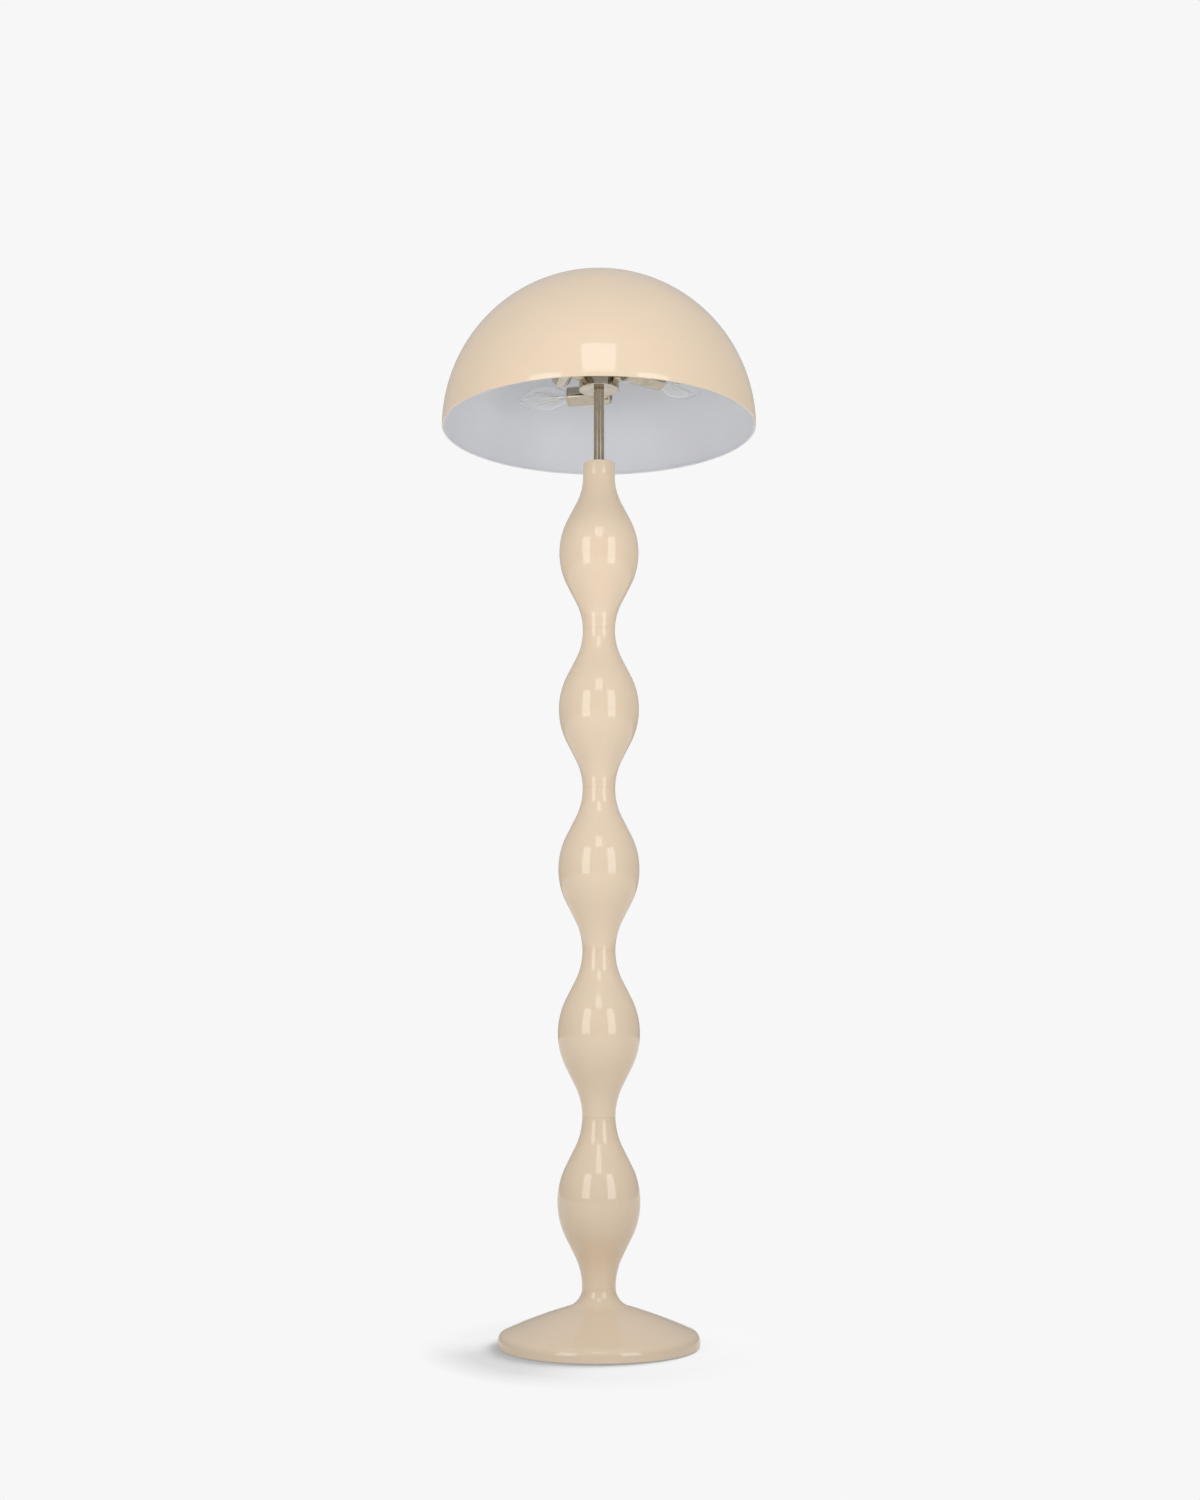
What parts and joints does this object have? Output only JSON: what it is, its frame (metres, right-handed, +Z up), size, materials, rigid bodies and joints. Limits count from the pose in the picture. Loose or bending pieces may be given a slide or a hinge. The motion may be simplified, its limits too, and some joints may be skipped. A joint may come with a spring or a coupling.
{
  "type": "floor lamp",
  "caption": "Floor lamp with a half-round shade on a turned column of bobbins, a round weighted base and candle bulbs under the shade.",
  "frame": {"origin": "centre of the base on the floor", "axes": "+Z up along the column, +X to the right and +Y away from the viewer of the picture"},
  "size_m": [0.4199, 0.42, 1.4045],
  "materials": {
    "cream_lacquer_metal": "cream gloss lacquer on spun steel",
    "cream_lacquer_wood": "cream gloss lacquer on turned wood",
    "shade_metal": "cream gloss lacquer outside, satin white inside",
    "iron_weight": "raw casting",
    "steel_plate": "black satin paint",
    "felt": "black felt",
    "zinc_steel": "zinc plated",
    "black_rubber": "matt",
    "antique_brass": "antique brass, lacquered",
    "plain_brass": "plain brass",
    "white_plastic": "white moulded",
    "bulb_cap_metal": "bright",
    "bulb_glass": "clear glass",
    "filament": "coated filament sticks on a glass stem"
  },
  "bodies": {
    "root": {"base_shell": "cream_lacquer_metal", "base_weight": "iron_weight", "base_plate": "steel_plate", "base_pad": "felt", "base_screws": "zinc_steel", "cord_bush": "black_rubber", "base_nut": "zinc_steel", "base_washer": "zinc_steel", "column_collar": "cream_lacquer_metal", "rod_sleeve": "antique_brass", "central_tube": "zinc_steel", "hub_body": "antique_brass", "hub_cover": "antique_brass", "hub_nut": "zinc_steel", "cover_nut": "zinc_steel", "terminal_block": "white_plastic", "shade_washer": "zinc_steel", "shade_nut": "zinc_steel", "bobbin_1": "cream_lacquer_wood", "bobbin_2": "cream_lacquer_wood", "bobbin_3": "cream_lacquer_wood", "bobbin_4": "cream_lacquer_wood", "bobbin_5": "cream_lacquer_wood", "arm_1": "antique_brass", "arm_nut_1": "zinc_steel", "holder_sleeve_1": "antique_brass", "holder_insert_1": "white_plastic", "holder_shell_1": "plain_brass", "holder_contact_1": "plain_brass", "holder_ring_1": "white_plastic", "arm_2": "antique_brass", "arm_nut_2": "zinc_steel", "holder_sleeve_2": "antique_brass", "holder_insert_2": "white_plastic", "holder_shell_2": "plain_brass", "holder_contact_2": "plain_brass", "holder_ring_2": "white_plastic", "arm_3": "antique_brass", "arm_nut_3": "zinc_steel", "holder_sleeve_3": "antique_brass", "holder_insert_3": "white_plastic", "holder_shell_3": "plain_brass", "holder_contact_3": "plain_brass", "holder_ring_3": "white_plastic"},
    "bulb_1": {"bulb_cap_1": "bulb_cap_metal", "bulb_glass_1": "bulb_glass", "bulb_filament_1": "filament"},
    "bulb_2": {"bulb_cap_2": "bulb_cap_metal", "bulb_glass_2": "bulb_glass", "bulb_filament_2": "filament"},
    "bulb_3": {"bulb_cap_3": "bulb_cap_metal", "bulb_glass_3": "bulb_glass", "bulb_filament_3": "filament"},
    "shade": {"shade": "shade_metal"},
    "finial": {"finial": "antique_brass"}
  },
  "joints": [
    {"name": "bulb_1_out", "type": "slide", "parent": "root", "child": "bulb_1", "axis": [-0.9781, 0.2079, 0], "range_m": [0, 0.03]},
    {"name": "bulb_2_out", "type": "slide", "parent": "root", "child": "bulb_2", "axis": [0.1736, -0.9848, 0], "range_m": [0, 0.03]},
    {"name": "bulb_3_out", "type": "slide", "parent": "root", "child": "bulb_3", "axis": [0.7815, 0.6239, 0], "range_m": [0, 0.03]},
    {"name": "shade_lift", "type": "slide", "parent": "root", "child": "shade", "axis": [0, 0, 1], "range_m": [0, 0.23]},
    {"name": "finial_lift", "type": "slide", "parent": "shade", "child": "finial", "axis": [0, 0, 1], "range_m": [0, 0.012]}
  ]
}
